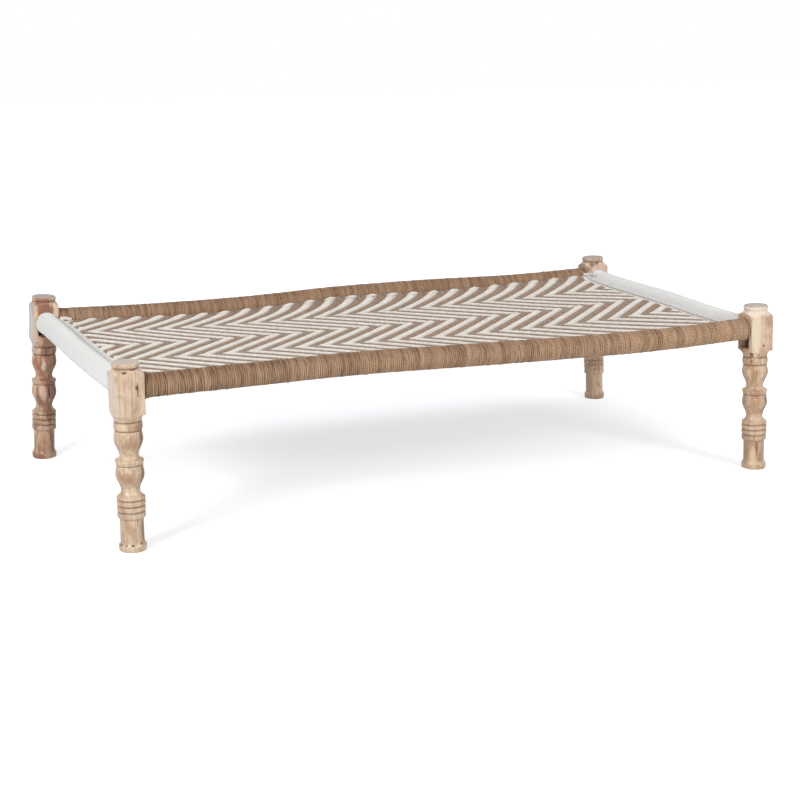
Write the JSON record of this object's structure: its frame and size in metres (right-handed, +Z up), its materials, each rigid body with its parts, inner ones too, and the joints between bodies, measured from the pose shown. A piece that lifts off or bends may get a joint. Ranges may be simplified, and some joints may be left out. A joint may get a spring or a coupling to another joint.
{
  "type": "charpai",
  "caption": "Low rope-strung bed: turned wooden legs joined by round poles, wound with jute and cotton cord, with a zigzag-woven cord surface stretched between them",
  "frame": {"origin": "on the floor under the middle of the whole bed, the bottom centre of its bounding box", "axes": "+X along the bed's length, +Y to its back long side, +Z up; millimetres in the source, metres in the row"},
  "size_m": [1.846, 0.9618, 0.4582],
  "materials": {
    "wood_front_left": "pale tan hardwood, turned and waxed, with an old dark crack",
    "wood_front_right": "cream sapwood with tan streaks, turned, worn",
    "wood_back_left": "reddish brown heartwood with pale sapwood streaks and dark cracks",
    "wood_back_right": "brown heartwood above, tan below, turned",
    "pole_wood": "peeled round pole, unfinished",
    "jute": "tight turns of brown jute cord",
    "cotton": "tight turns of undyed white cotton cord",
    "weave": "white cotton and brown jute cord in a zigzag twill"
  },
  "bodies": {
    "root": {"leg_front_left": "wood_front_left", "leg_front_right": "wood_front_right", "leg_back_left": "wood_back_left", "leg_back_right": "wood_back_right", "side_rail_front": "pole_wood", "jute_winding_front": "jute", "side_rail_back": "pole_wood", "jute_winding_back": "jute", "end_rail_left": "pole_wood", "cotton_winding_left": "cotton", "end_rail_right": "pole_wood", "cotton_winding_right": "cotton", "woven_bed": "weave", "cotton_margin_left": "cotton", "cotton_margin_right": "cotton", "corner_tie": "cotton"}
  },
  "joints": []
}
